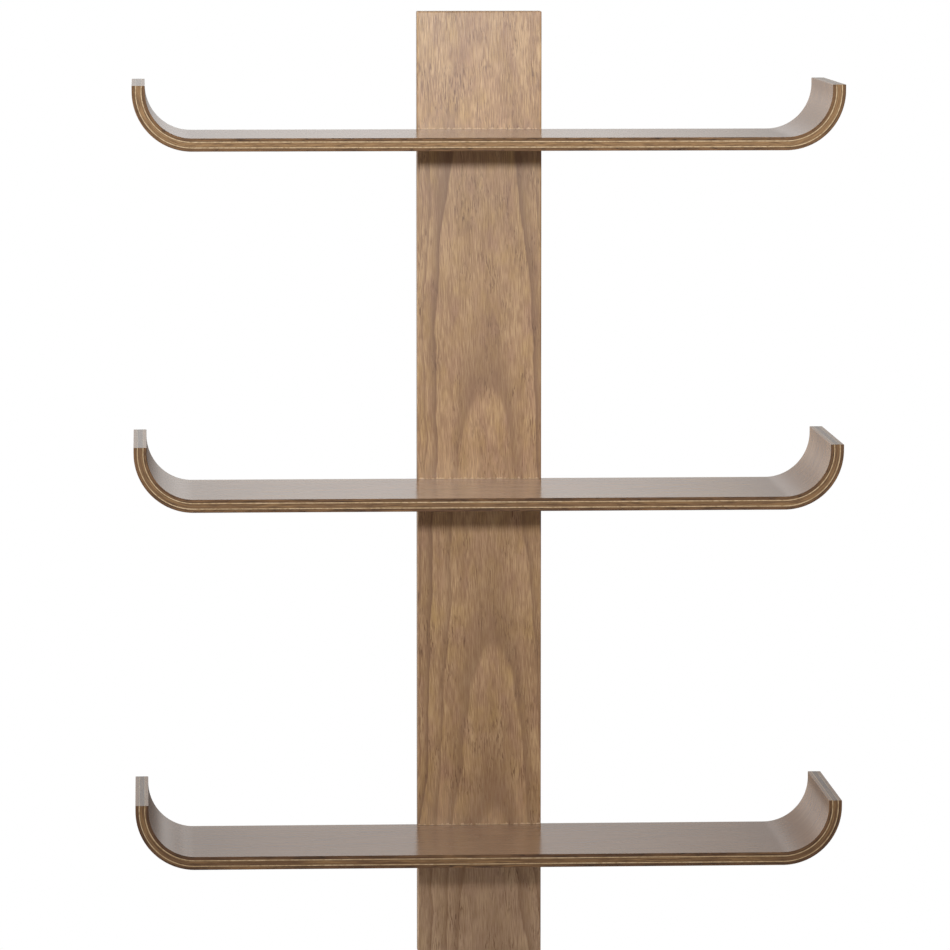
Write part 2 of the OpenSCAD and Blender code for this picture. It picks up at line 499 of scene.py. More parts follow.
    def shader(self, tree: Tree) -> Node:
        """Draw rings, fibre, pores and stain patches over the board's own coordinates.

        Args:
            tree: The material's tree.

        Returns:
            The shader.
        """
        vector, xyz = millimetres(tree)
        x, y, z = xyz.outputs
        lean = add(tree, "ShaderNodeMath", z, self.lean, x, operation="MULTIPLY_ADD")
        leaning = add(tree, "ShaderNodeCombineXYZ", lean, y, z)
        fibre = self.fibre.draw(tree, leaning)
        tone = weighted_sum(tree, (fibre, self.strand.draw(tree, leaning),
                                   self.stain.draw(tree, vector)), self.tone_shares)
        contrast = add(tree, "ShaderNodeMapRange", z, *self.contrast)
        darkening = add(tree, "ShaderNodeMapRange", tone, *self.darkening, clamp=False)
        darkening = add(tree, "ShaderNodeMath", darkening, contrast, operation="MULTIPLY")
        lightening = add(tree, "ShaderNodeMapRange", tone, *self.lightening)
        lightening = add(tree, "ShaderNodeMath", lightening, contrast, operation="MULTIPLY")
        # Painted sheen: the board's foot is greyed, standing in for a pale veil of light over the
        # lowest bay.
        painted_sheen = add(tree, "ShaderNodeMapRange", z, *self.painted_sheen)
        strength = add(tree, "ShaderNodeMapRange", z, *self.ring_strength)
        rings = self.ring_ramp(tree, self.course(tree, vector, xyz))
        rings = add(tree, "ShaderNodeMath", rings, strength, operation="MULTIPLY")
        colour = layered(tree, linear(self.body), [
            (lightening, self.pale), (self.blush.draw(tree, vector), self.pink),
            (self.gild.draw(tree, vector), self.golden), (painted_sheen, self.grey),
            (darkening, self.dark), (rings, self.dark),
            (self.pore_mask(tree, vector, leaning, contrast), self.pore),
            (self.torn_edge(tree, vector, xyz), self.torn)])
        return self.lacquered(tree, colour, fibre, self.roughness)


@dataclass(frozen=True)
class BentPly(LacqueredWood):
    """Veneer of a bent shelf, whose grain runs along the shelf and follows its bends.

    Its pattern is laid out on the unrolled shelf: along it, from back to front, and through it.
    Each shelf takes its own stretch of the pattern, one step from the next in millimetres.
    """

    roughness: float = 0.2
    edge_roughness: float = 0.75
    gloss: float = 0.4
    relief: float = 0.15
    relief_height: float = 0.02
    shelf_step: float = 430.0
    # Share of the painted light on the cut plies of the bottom shelf and of the top one.
    painted_lit_shares: tuple[float, float] = (-0.2, 0.62)
    # How far a normal has to point to the front or the back for the surface to be a long edge.
    edge_facing: float = 0.2

    def unrolled(self, tree: Tree) -> tuple[Node, Node]:
        """Add the unrolled coordinates in millimetres, apart for each shelf.

        Args:
            tree: The tree to draw in.

        Returns:
            Node with the vector along the shelf, from back to front, and through its plies, and
            node with the shelf's level: 1 for the top one, 0 and -1.
        """
        _, xyz = millimetres(tree)
        x, y, z = xyz.outputs
        level = add(tree, "ShaderNodeMath", z, FORM.pitch, operation="DIVIDE")
        level = add(tree, "ShaderNodeMath", level, operation="ROUND")
        own_z = add(tree, "ShaderNodeMath", level, -FORM.pitch, z, operation="MULTIPLY_ADD")
        drop = add(tree, "ShaderNodeMath", FORM.middle_radius, own_z, operation="SUBTRACT")
        side = add(tree, "ShaderNodeMath", x, operation="SIGN")
        reach = add(tree, "ShaderNodeMath", x, operation="ABSOLUTE")
        past = add(tree, "ShaderNodeMath", reach, FORM.flat_half, operation="SUBTRACT")
        past = add(tree, "ShaderNodeMath", past, 0.0, operation="MAXIMUM")
        turn = add(tree, "ShaderNodeMath", past, drop, operation="ARCTAN2")
        flat = add(tree, "ShaderNodeMath", reach, FORM.flat_half, operation="MINIMUM")
        along = add(tree, "ShaderNodeMath", turn, FORM.middle_radius, flat, operation="MULTIPLY_ADD")
        along = add(tree, "ShaderNodeMath", along, side, operation="MULTIPLY")
        radius = add(tree, "ShaderNodeVectorMath",
                     add(tree, "ShaderNodeCombineXYZ", past, drop, 0.0), operation="LENGTH")
        depth = add(tree, "ShaderNodeMath", level, self.shelf_step, y, operation="MULTIPLY_ADD")
        return add(tree, "ShaderNodeCombineXYZ", along, depth, radius.outputs["Value"]), level

    def painted_level_light(self, tree: Tree, vector: Source) -> Node:
        """Add the painted light on each shelf's cut plies: the top shelf's most, the bottom one's
        none.

        Args:
            tree: The tree to draw in.
            vector: The unrolled coordinates in millimetres.

        Returns:
            Node with the share of the painted light, where less than 0 is none.
        """
        depth = add(tree, "ShaderNodeSeparateXYZ", vector).outputs["Y"]
        return add(tree, "ShaderNodeMapRange", depth, FORM.middle_y - self.shelf_step,
                   FORM.middle_y + self.shelf_step, *self.painted_lit_shares)

    def on_edge(self, tree: Tree) -> Node:
        """Add the mask of the long front and back edges with their eased arrises.

        Args:
            tree: The tree to draw in.

        Returns:
            Node with 1 on the edges and 0 elsewhere.
        """
        normal = add(tree, "ShaderNodeNewGeometry").outputs["Normal"]
        facing = add(tree, "ShaderNodeSeparateXYZ", normal).outputs["Y"]
        facing = add(tree, "ShaderNodeMath", facing, operation="ABSOLUTE")
        return add(tree, "ShaderNodeMath", facing, self.edge_facing, operation="GREATER_THAN")

    def sheen(self, tree: Tree, on_edge: Source) -> Node:
        """Add the roughness: satin on the wide faces and tips, dull on the long edges."""
        return add(tree, "ShaderNodeMapRange", on_edge, 0.0, 1.0, self.roughness,
                   self.edge_roughness)


@dataclass(frozen=True)
class FaceVeneer(BentPly):
    """Outer ply: stained veneer under a satin lacquer that mirrors at a low angle.

    The eye sees long streaks with a few rings on the wide faces, and a dark cut edge, painted
    lighter on the upper shelves. Painted shade darkens the wide faces of the top and bottom shelves
    and about the right-hand bends.
    """

    body: str = "#b28b63"
    pale: str = "#caa57b"
    # Dark of the grain and the rings, and also the colour of the painted shade.
    dark: str = "#886241"
    edge: str = "#64442b"
    edge_dark: str = "#3a2616"
    edge_pale: str = "#87633f"
    # Painted light: the upper shelves' cut edges are lighter, as the light falls off downward.
    edge_painted_lit: str = "#8d6a45"

    # The rings are long arches about an axis that runs along the shelf, this far from the wall.
    axis_depth: float = 90.0
    ring_spacing: float = 150.0
    arch_width: float = 9.0
    # How dark a ring is, by how much of the spacing lies between a point and the ring's line.
    ring_tone: Slope = Slope(0.0, 0.45, 0.24, 0.0)
    wander: Patches = Patches((150, 60, 60), low=-14.0, high=14.0)
    ripple: Patches = Patches((30, 9, 9), low=-1.5, high=1.5)

    # Real fibres are under 0.1 mm wide, and are drawn coarser, to show.
    fibre: Patches = Patches((18, 1.2, 1.2), 4.0)
    strand: Patches = Patches((70, 5, 5), 3.0)
    cloud: Patches = Patches((60, 26, 26))
    # The three together make the tone, and that darkens or lightens the body.
    tone_shares: tuple[float, float, float] = (0.5, 0.3, 0.2)
    darkening: Slope = Slope(0.35, 0.95, 0.0, 0.5)
    lightening: Slope = Slope(0.55, 0.15, 0.0, 0.6)

    # Painted shade by level, from the middle shelf's 0 to the bottom one's -1 and the top one's 1.
    bottom_painted_shade: Slope = Slope(0.0, -1.0, 0.0, 0.5)
    top_painted_shade: Slope = Slope(0.0, 1.0, 0.0, 0.3)
    # The painted shade about the right-hand bends is strongest this far past the flat, and fades with
    # the distance from it.
    bend_painted_shade_start: float = 12.0
    bend_painted_shade: Slope = Slope(58.0, 0.0, 0.0, 0.6)

    # Worn places, streaks and blotches of the long edges.
    worn: Patches = Patches((45, 40, 3), 2.0, -0.7, 1.2)
    streak: Patches = Patches((22, 40, 0.9), 4.0, -0.4, 1.0)
    blotch: Patches = Patches((7, 40, 1.6), 2.0, -1.3, 0.9)

    def rings(self, tree: Tree, vector: Source) -> Node:
        """Add the growth rings of the wide faces.

        Args:
            tree: The tree to draw in.
            vector: The unrolled coordinates in millimetres.

        Returns:
            Node with how dark the ring is.
        """
        along, depth, _ = add(tree, "ShaderNodeSeparateXYZ", vector).outputs
        across = add(tree, "ShaderNodeMath", depth, self.shelf_step, 0.0, operation="WRAP")
        across = add(tree, "ShaderNodeMath", across, self.shelf_step - self.axis_depth,
                     operation="SUBTRACT")
        for patches in (self.wander, self.ripple):
            across = add(tree, "ShaderNodeMath", across, patches.draw(tree, vector), operation="ADD")
        spread = add(tree, "ShaderNodeMath", across, across, operation="MULTIPLY")
        course = add(tree, "ShaderNodeMath", spread, 1 / self.arch_width, along,
                     operation="MULTIPLY_ADD")
        course = add(tree, "ShaderNodeMath", course, 1 / self.ring_spacing, operation="MULTIPLY")
        share = add(tree, "ShaderNodeMath", course, operation="FRACT")
        return add(tree, "ShaderNodeMapRange", share, *self.ring_tone)

    def painted_shades(self, tree: Tree, vector: Source, level: Source) -> list[tuple[Node, str]]:
        """Add the painted shade of the top and bottom shelves and about the right-hand bends.

        Args:
            tree: The tree to draw in.
            vector: The unrolled coordinates in millimetres.
            level: 1 on the top shelf, 0 on the middle one and -1 on the bottom one.

        Returns:
            Mask and colour of both painted shades.
        """
        lower = add(tree, "ShaderNodeMapRange", level, *self.bottom_painted_shade)
        upper = add(tree, "ShaderNodeMapRange", level, *self.top_painted_shade)
        own = add(tree, "ShaderNodeMath", lower, upper, operation="MAXIMUM")
        along = add(tree, "ShaderNodeSeparateXYZ", vector).outputs["X"]
        away = add(tree, "ShaderNodeMath", along, FORM.flat_half + self.bend_painted_shade_start,
                   operation="SUBTRACT")
        away = add(tree, "ShaderNodeMath", away, operation="ABSOLUTE")
        bend = add(tree, "ShaderNodeMapRange", away, *self.bend_painted_shade,
                   interpolation_type="SMOOTHSTEP")
        return [(own, self.dark), (bend, self.dark)]

    def face(self, tree: Tree, vector: Source, level: Source, fibre: Source) -> Source:
        """Add the colour of the wide faces.

        Args:
            tree: The tree to draw in.
            vector: The unrolled coordinates in millimetres.
            level: 1 on the top shelf, 0 on the middle one and -1 on the bottom one.
            fibre: The fine fibre.

        Returns:
            Socket with the colour.
        """
        tone = weighted_sum(tree, (fibre, self.strand.draw(tree, vector),
                                   self.cloud.draw(tree, vector)), self.tone_shares)
        darkening = add(tree, "ShaderNodeMapRange", tone, *self.darkening)
        lightening = add(tree, "ShaderNodeMapRange", tone, *self.lightening)
        return layered(tree, linear(self.body), [
            (lightening, self.pale), (darkening, self.dark), (self.rings(tree, vector), self.dark),
            # Painted shade on the top and bottom shelves and about the right-hand bends.
            *self.painted_shades(tree, vector, level)])

    def cut_edge(self, tree: Tree, vector: Source) -> Source:
        """Add the colour of the long edges, worn in places and streaked along the ply."""
        return layered(tree, linear(self.edge), [
            # Painted light on the upper shelves' cut edges.
            (self.painted_level_light(tree, vector), self.edge_painted_lit),
            (self.worn.draw(tree, vector), self.edge_pale),
            (self.streak.draw(tree, vector), self.edge_dark),
            (self.blotch.draw(tree, vector), self.edge_dark)])

    def shader(self, tree: Tree) -> Node:
        """Draw the wide faces' grain and the edge's streaks.

        Args:
            tree: The material's tree.

        Returns:
            The shader.
        """
        vector, level = self.unrolled(tree)
        fibre = self.fibre.draw(tree, vector)
        on_edge = self.on_edge(tree)
        colour = add(tree, "ShaderNodeMix", data_type="RGBA", sockets={
            0: on_edge, 6: self.face(tree, vector, level, fibre),
            7: self.cut_edge(tree, vector)}).outputs[2]
        return self.lacquered(tree, colour, fibre, self.sheen(tree, on_edge))


@dataclass(frozen=True)
class InnerPly(BentPly):
    """Inner ply seen at its sanded and lacquered cut edge.

    The core shows long brown streaks. A crossband shows end grain, so it is paler, with short
    ticks across it. Both darken at the glue seams on their two sides. Painted light makes the plies
    of the upper shelves lighter than the bottom one's.
    """

    body: str = "#715031"
    # Colour of the painted light on the upper shelves' plies.
    painted_lit: str = "#b79061"
    pale: str = "#98744a"
    dark: str = "#54391f"
    glue: str = "#533923"
    edge_roughness: float = 0.65
    relief: float = 0.3
    relief_height: float = 0.05
    streak: Patches = Patches((12, 40, 0.55), 4.0, -0.6, 1.15)
    band: Patches = Patches((45, 40, 1.4), 3.0, -0.7, 1.2)
    # How far the ply's own middle lies from the shelf's, and the seams by the distance from it.
    middle: float = 0.0
    seam: Slope = Slope(FORM.core / 2 - 0.2, FORM.core / 2, 0.0, 0.8)

    def shader(self, tree: Tree) -> Node:
        """Draw streaks along the ply, and its seams.

        Args:
            tree: The material's tree.

        Returns:
            The shader.
        """
        vector, _ = self.unrolled(tree)
        streak = self.streak.draw(tree, vector)
        away = add(tree, "ShaderNodeSeparateXYZ", vector).outputs["Z"]
        for middle in (FORM.middle_radius, self.middle):
            away = add(tree, "ShaderNodeMath", away, -middle, operation="ADD")
            away = add(tree, "ShaderNodeMath", away, operation="ABSOLUTE")
        seam = add(tree, "ShaderNodeMapRange", away, *self.seam)
        colour = layered(tree, linear(self.body), [
            # Painted light on the upper shelves' plies.
            (self.painted_level_light(tree, vector), self.painted_lit), (self.band.draw(tree, vector), self.pale),
            (streak, self.dark), (seam, self.glue)])
        return self.lacquered(tree, colour, streak, self.sheen(tree, self.on_edge(tree)))


@dataclass(frozen=True)
class MattFinish(Finish):
    """Matt surface of one colour, with patches of a second one."""

    body: str
    second: str
    patches: Patches
    roughness: float = 0.8

    def shader(self, tree: Tree) -> Node:
        """Draw the patches over the body.

        Args:
            tree: The material's tree.

        Returns:
            The shader.
        """
        vector, _ = millimetres(tree)
        colour = layered(tree, linear(self.body), [(self.patches.draw(tree, vector), self.second)])
        return add(tree, "ShaderNodeBsdfPrincipled", colour, sockets={"Roughness": self.roughness})


@dataclass(frozen=True)
class Beech(MattFinish):
    """Bare turned beech of the dowels: pale, with short darker flecks from back to front.

    The flecks are drawn coarser than real ones, to show.
    """

    body: str = "#d5b68b"
    second: str = "#b08a5d"
    patches: Patches = Patches((0.5, 3, 0.5), low=-1.2, high=1.2)
    roughness: float = 0.6


@dataclass(frozen=True)
class StudioPaint(MattFinish):
    """Matt white paint of the studio floor, even but for faint clouds that the roller left."""

    body: str = "#f6f5f3"
    second: str = "#efeeeb"
    patches: Patches = Patches((60, 60, 60), 3.0)


@dataclass(frozen=True)
class ZincPlate(Finish):
    """Zinc-plated steel: a soft grey shine, with cloudy patches and fine rolling lines.

    The lines are drawn coarser than real ones, to show.
    """

    body: str = "#c8cacd"
    dull: str = "#a3a39b"
    roughness: float = 0.3
    # How much rougher the dullest clouds are.
    haze: float = 0.14
    clouds: Patches = Patches((4, 4, 4), 3.0, -0.3, 1.1)
    lines: Patches = Patches((0.3, 0.3, 12), 3.0)
    relief: float = 0.2
    relief_height: float = 0.02

    def shader(self, tree: Tree) -> Node:
        """Draw the clouds of the plating, and their change of gloss.

        Args:
            tree: The material's tree.

        Returns:
            The shader.
        """
        vector, _ = millimetres(tree)
        clouds = self.clouds.draw(tree, vector)
        colour = layered(tree, linear(self.body), [(clouds, self.dull)])
        sheen = add(tree, "ShaderNodeMapRange", clouds, 0.0, 1.0, self.roughness,
                    self.roughness + self.haze)
        bump = add(tree, "ShaderNodeBump", self.relief, sockets={
            "Height": self.lines.draw(tree, vector), "Distance": self.relief_height * MM})
        return add(tree, "ShaderNodeBsdfPrincipled", colour,
                   sockets={"Roughness": sheen, "Metallic": 1.0, "Normal": bump})


def dress_node(name: str, finish: Finish) -> None:
    """Give a CAD node its finish, and report it."""
    finish.dress(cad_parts[name])
    LOG.info("%s wears %s", name, finish.name)


@dataclass
class SpineBoard:
    """The upright board that carries the shelves."""

    node: str = "spine_board"
    wood: SpineWood = SpineWood("lacquered_flat_sawn_board")

    def dress(self) -> None:
        """Give the board its wood."""
        dress_node(self.node, self.wood)


@dataclass
class RepeatedPart:
    """A part drawn once by Geometry Nodes and set at each of its places, in millimetres.

    A fastener is drawn from the origin along +Z, and its tilt lays it from back to front. Faces
    that meet at less than the smoothing angle are shaded as one. Both angles are in degrees.
    """

    name: str
    places: Sequence[tuple[float, float, float]]
    finish: Finish
    slot: str
    smooth_below: float = 35.0
    tilt: float = 90.0

    def sizes(self) -> dict[str, float]:
        """Return the tree's named sizes, lengths in metres."""
        raise NotImplementedError

    def refine(self, mesh: bpy.types.Mesh) -> None:
        """Work on the parts' plain mesh; most parts need nothing more."""

    def draw(self, tree: Tree, size: dict[str, Source]) -> Node:
        """Draw one part, from the socket of each named size, and return its geometry."""
        raise NotImplementedError

    def tree(self) -> Tree:
        """Build the tree: one part, an instance at each place, made real, with its finish.

        Returns:
            The tree, whose inputs are the places, the named sizes and the finish.
        """
        tree = bpy.data.node_groups.new(f"{self.name}_tree", "GeometryNodeTree")
        tree.interface.new_socket("Places", in_out="INPUT", socket_type="NodeSocketGeometry")
        for label in self.sizes():
            tree.interface.new_socket(label, in_out="INPUT", socket_type="NodeSocketFloat")
        tree.interface.new_socket("Finish", in_out="INPUT", socket_type="NodeSocketMaterial")
        tree.interface.new_socket("Parts", in_out="OUTPUT", socket_type="NodeSocketGeometry")
        given = add(tree, "NodeGroupInput")
        part = self.draw(tree, {label: given.outputs[label] for label in self.sizes()})
        laid = add(tree, "GeometryNodeTransform", part,
                   sockets={"Rotation": (math.radians(self.tilt), 0, 0)})
        copies = add(tree, "GeometryNodeInstanceOnPoints", given.outputs["Places"],
                     sockets={"Instance": laid})
        real = add(tree, "GeometryNodeRealizeInstances", copies)
        finished = add(tree, "GeometryNodeSetMaterial", real,
                       sockets={"Material": given.outputs["Finish"]})
        add(tree, "NodeGroupOutput", finished)
        return tree

    def build(self, replaced: str) -> None:
        """Make the parts' mesh in place of a CAD node.

        Args:
            replaced: The CAD node that the parts stand for.
        """
        seeds = bpy.data.meshes.new(f"{self.name}_places")
        seeds.from_pydata([Vector(p) * MM for p in self.places], [], [])
        holder = bpy.data.objects.new(f"{self.name}_holder", seeds)
        bpy.context.scene.collection.objects.link(holder)
        tree = self.tree()
        modifier = holder.modifiers.new("parts", "NODES")
        modifier.node_group = tree
        names = {item.name: item.identifier for item in tree.interface.items_tree}
        for label, value in self.sizes().items():
            modifier[names[label]] = value
        modifier[names["Finish"]] = self.finish.material()
        graph = bpy.context.evaluated_depsgraph_get()
        mesh = bpy.data.meshes.new_from_object(holder.evaluated_get(graph))
        holder.modifiers.clear()
        bpy.data.objects.remove(holder)
        mesh.name = self.name
        self.refine(mesh)
        mesh.shade_smooth()
        mesh.set_sharp_from_angle(angle=math.radians(self.smooth_below))
        piece = bpy.data.objects.new(self.name, mesh)
        bpy.context.scene.collection.objects.link(piece)
        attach(piece, BODY)
        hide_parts(replaced)
        LOG.info("%s has %d faces at %d places", self.name, len(mesh.polygons), len(self.places))


@dataclass
class EasedFacePly(RepeatedPart):
    """Outer ply of a shelf: a strip bent up at both ends, with its outer arrises eased.

    The strip starts as a box, one unit deep and thick, whose cross cuts are counted from its
    middle. The first cuts spread along the flat stretch, the next turn about the bend's centre,
    and the last one rises. Low and high are its faces' heights above the shelf's underside in
    millimetres.
    """

    low: float = FORM.thickness - FORM.face_ply
    high: float = FORM.thickness
    flat_cuts: int = 12
    bend_cuts: int = 32
    rise_cuts: int = 1
    easing: float = 0.35
    easing_steps: int = 2
    # An arris is sharper than this, in degrees, and lies this near the outer face.
    arris_angle: float = 60.0
    touch: float = 0.01
    smooth_below: float = 12.0
    tilt: float = 0.0

    def sizes(self) -> dict[str, float]:
        """Return the tree's named sizes, in metres."""
        return {"Low Face": self.low * MM, "High Face": self.high * MM, "Depth": FORM.depth * MM,
                "Flat Half": FORM.flat_half * MM, "Bend Radius": FORM.outer_radius * MM,
                "End Rise": FORM.end_rise * MM}

    def draw(self, tree: Tree, size: dict[str, Source]) -> Node:
        """Draw the strip and bend it.

        Args:
            tree: The tree to draw in.
            size: Socket of each named size, in metres.

        Returns:
            The bent strip.
        """
        bent_cuts = self.flat_cuts + self.bend_cuts
        cuts = bent_cuts + self.rise_cuts
        box = add(tree, "GeometryNodeMeshCube", (2 * cuts, 1, 1), 2 * cuts + 1, 2, 2)
        count, across, through = add(tree, "ShaderNodeSeparateXYZ",
                                     add(tree, "GeometryNodeInputPosition")).outputs
        side = add(tree, "ShaderNodeMath", count, operation="SIGN")
        away = add(tree, "ShaderNodeMath", count, operation="ABSOLUTE")
        flat = add(tree, "ShaderNodeMapRange", away, 0.0, self.flat_cuts, 0.0, size["Flat Half"])
        turn = add(tree, "ShaderNodeMapRange", away, self.flat_cuts, bent_cuts, 0.0, math.pi / 2)
        rise = add(tree, "ShaderNodeMapRange", away, bent_cuts, cuts, 0.0, size["End Rise"])
        layer = add(tree, "ShaderNodeMapRange", through, -0.5, 0.5, size["Low Face"],
                    size["High Face"])
        radius = add(tree, "ShaderNodeMath", size["Bend Radius"], layer, operation="SUBTRACT")
        sine = add(tree, "ShaderNodeMath", turn, operation="SINE")
        cosine = add(tree, "ShaderNodeMath", turn, operation="COSINE")
        reach = add(tree, "ShaderNodeMath", radius, sine, flat, operation="MULTIPLY_ADD")
        drop = add(tree, "ShaderNodeMath", radius, cosine, operation="MULTIPLY")
        drop = add(tree, "ShaderNodeMath", drop, rise, operation="SUBTRACT")
        place = add(tree, "ShaderNodeCombineXYZ",
                    add(tree, "ShaderNodeMath", reach, side, operation="MULTIPLY"),
                    add(tree, "ShaderNodeMath", across, size["Depth"], operation="MULTIPLY"),
                    add(tree, "ShaderNodeMath", size["Bend Radius"], drop, operation="SUBTRACT"))
        return add(tree, "GeometryNodeSetPosition", box.outputs["Mesh"],
                   sockets={"Position": place})

    def on_outer_face(self, point: Vector) -> bool:
        """Say whether a point lies on the face that the ply shows.

        Args:
            point: The point, in metres.

        Returns:
            True where it does.
        """
        outer = self.high if self.low > 0 else self.low
        underside = self.places[0][2]
        past = max(abs(point.x) / MM - FORM.flat_half, 0.0)
        drop = max(FORM.outer_radius - (point.z / MM - underside), 0.0)
        return abs(FORM.outer_radius - math.hypot(past, drop) - outer) < self.touch

    def refine(self, mesh: bpy.types.Mesh) -> None:
        """Ease the four arrises of the ply's outer face, at its long edges and its tips.

        Args:
            mesh: The ply's plain mesh.
        """
        shape = bmesh.new()
        shape.from_mesh(mesh)
        arrises = [edge for edge in shape.edges
                   if all(self.on_outer_face(corner.co) for corner in edge.verts)
                   and edge.calc_face_angle(0.0) > math.radians(self.arris_angle)]
        bmesh.ops.bevel(shape, geom=arrises, offset=self.easing * MM, offset_type="OFFSET",
                        segments=self.easing_steps, profile=0.5, affect="EDGES", material=-1)
        shape.to_mesh(mesh)
        shape.free()


@dataclass
class BentShelf:
    """One shelf: five glued plies, bent up at both ends."""

    level: Level
    veneer: FaceVeneer = FaceVeneer("stained_face_veneer")
    core: InnerPly = InnerPly("sanded_core_ply")
    crossband: InnerPly = InnerPly(
        "sanded_crossband", body="#c4a57d", painted_lit="#dcc29b", pale="#d8bd97", dark="#a5875f",
        streak=Patches((3, 40, 2.5), 4.0, -0.6, 1.15), middle=(FORM.core + FORM.crossband) / 2,
        seam=Slope(0.25, 0.5, 0.0, 0.8))

    def node_of(self, ply: Ply) -> str:
        """Return the CAD node of a ply."""
        return f"{self.level.name.lower()}_shelf_{ply.value}"

    def dress(self) -> None:
        """Give the inner plies their wood, and put eased face plies in place of the CAD ones."""
        for ply in (Ply.UPPER_CROSSBAND, Ply.CORE, Ply.LOWER_CROSSBAND):
            dress_node(self.node_of(ply), self.core if ply is Ply.CORE else self.crossband)
        place = (0.0, FORM.middle_y, self.level.underside)
        for ply, low in ((Ply.UPPER_FACE, FORM.thickness - FORM.face_ply), (Ply.LOWER_FACE, 0.0)):
            name = self.node_of(ply)
            EasedFacePly(f"{name}_eased", [place], self.veneer, "face_ply", low=low,
                         high=low + FORM.face_ply).build(name)


@dataclass
class WoodScrews(RepeatedPart):
    """Countersunk wood screws with a cross recess, a rolled thread and a pointed tip.

    Shank and head are given by their radius, in millimetres. The core's share is of the shank's
    radius, and the tip's of the core's. The recess takes its length and width as shares of the
    head's radius, and its depth as one of the cone's height.
    """

    shank: float = 1.75
    head: float = 3.5
    length: float = 40.0
    tip: float = 4.0
    pitch: float = 1.6
    core_share: float = 0.7
    tip_share: float = 0.2
    recess_length_share: float = 1.1
    recess_width_share: float = 0.26
    recess_depth_share: float = 1.2
    head_sides: int = 48
    core_sides: int = 24
    thread_sides: int = 4
    turn_steps: int = 20

    def sizes(self) -> dict[str, float]:
        """Work out the tree's named sizes.

        Returns:
            Lengths in metres, and the thread's turns as counts.
        """
        core = self.shank * self.core_share
        cone = self.head - self.shank
        body = self.length - self.tip - cone
        return {"Core Radius": core * MM, "Thread Height": (self.shank - core) * MM,
                "Head Radius": self.head * MM, "Cone Height": cone * MM, "Body Length": body * MM,
                "Tip Length": self.tip * MM, "Body Turns": body / self.pitch,
                "Tip Turns": self.tip / self.pitch, "Tip Radius": self.tip_share * core * MM,
                "Recess Length": self.recess_length_share * self.head * MM,
                "Recess Width": self.recess_width_share * self.head * MM,
                "Recess Depth": self.recess_depth_share * cone * MM}

    def recessed_head(self, tree: Tree, size: dict[str, Source]) -> Node:
        """Draw the countersunk head with its cross recess.

        Args:
            tree: The tree to draw in.
            size: Socket of each named size.

        Returns:
            The head.
        """
        cone = add(tree, "GeometryNodeMeshCone", sockets={
            "Vertices": self.head_sides, "Radius Top": size["Core Radius"],
            "Radius Bottom": size["Head Radius"], "Depth": size["Cone Height"]})
        cross = add(tree, "GeometryNodeMeshBoolean", operation="UNION", solver="EXACT")
        for long_axis in (0, 1):
            edges = [size["Recess Width"]] * 2 + [size["Recess Depth"]]
            edges[long_axis] = size["Recess Length"]
            wing = add(tree, "GeometryNodeMeshCube", add(tree, "ShaderNodeCombineXYZ", *edges))
            tree.links.new(wing.outputs["Mesh"], cross.inputs["Mesh 2"])
        return add(tree, "GeometryNodeMeshBoolean", cone.outputs["Mesh"],
                   sockets={"Mesh 2": cross}, operation="DIFFERENCE", solver="EXACT")

    def draw(self, tree: Tree, size: dict[str, Source]) -> Node:
        """Draw one screw: head with its recess, core, point, and the thread round them.

        Args:
            tree: The tree to draw in.
            size: Socket of each named size, lengths in metres.

        Returns:
            The screw.
        """
        tip_start = add(tree, "ShaderNodeMath", size["Cone Height"], size["Body Length"],
                        operation="ADD")
        cores, ridges = [], []
        for length, turns, end, start in (
                ("Body Length", "Body Turns", "Core Radius", size["Cone Height"]),
                ("Tip Length", "Tip Turns", "Tip Radius", tip_start)):
            core = add(tree, "GeometryNodeMeshCone", sockets={
                "Vertices": self.core_sides, "Radius Top": size[end],
                "Radius Bottom": size["Core Radius"], "Depth": size[length]})
            cores.append(self.raised(tree, core.outputs["Mesh"], start))
            helix = add(tree, "GeometryNodeCurveSpiral", sockets={
                "Resolution": self.turn_steps, "Rotations": size[turns],
                "Start Radius": size["Core Radius"], "End Radius": size[end],
                "Height": size[length]})
            upright = add(tree, "GeometryNodeSetCurveNormal", helix, mode="Z_UP")
            section = add(tree, "GeometryNodeCurvePrimitiveCircle",
                          sockets={"Resolution": self.thread_sides, "Radius": size["Thread Height"]})
            ridge = add(tree, "GeometryNodeCurveToMesh", upright, section,
                        sockets={"Fill Caps": True})
            ridges.append(self.raised(tree, ridge, start))
        joined = add(tree, "GeometryNodeJoinGeometry")
        for part in (self.recessed_head(tree, size), *cores, *ridges):
            tree.links.new(first_output(part), joined.inputs[0])
        return joined

    @staticmethod
    def raised(tree: Tree, geometry: Source, height: Source) -> Node:
        """Return a node that lifts geometry along the screw's axis."""
        shift = add(tree, "ShaderNodeCombineXYZ", 0.0, 0.0, height)
        return add(tree, "GeometryNodeTransform", geometry, sockets={"Translation": shift})


